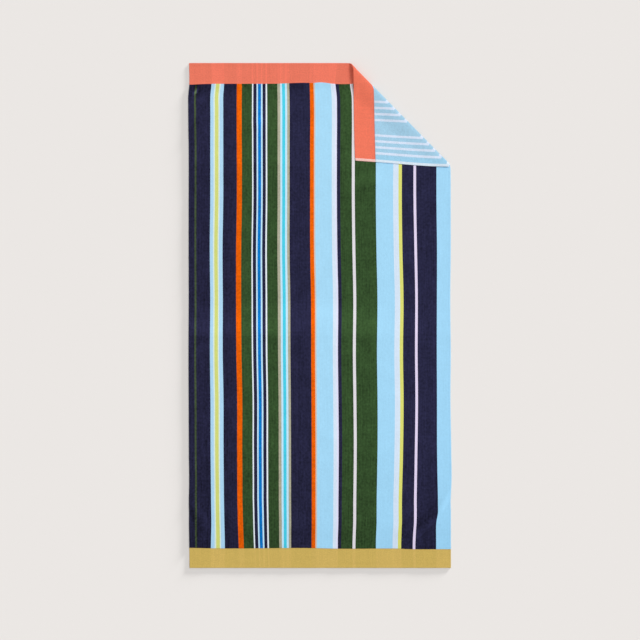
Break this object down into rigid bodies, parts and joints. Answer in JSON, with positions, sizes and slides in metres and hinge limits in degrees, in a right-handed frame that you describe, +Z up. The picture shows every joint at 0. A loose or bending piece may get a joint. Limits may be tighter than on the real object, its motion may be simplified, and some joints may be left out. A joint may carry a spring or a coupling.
{
  "type": "beach towel",
  "caption": "Large striped velour beach towel lying flat, face up, with one end corner folded over on to its face.",
  "frame": {"origin": "centre of the towel's outline, on the surface that it lies on", "axes": "+X across the towel to the side whose corner is folded, +Y along it to the coral heading, +Z up"},
  "size_m": [0.907, 1.74, 0.024],
  "materials": {
    "towel_cloth": "cotton velour face with lengthwise stripes in navy, green, blue, white and orange, terry back in pale blue and white, coral and mustard flat-woven headings",
    "hem_thread": "matt cotton sewing thread"
  },
  "bodies": {
    "root": {"towel": "towel_cloth"}
  },
  "joints": []
}
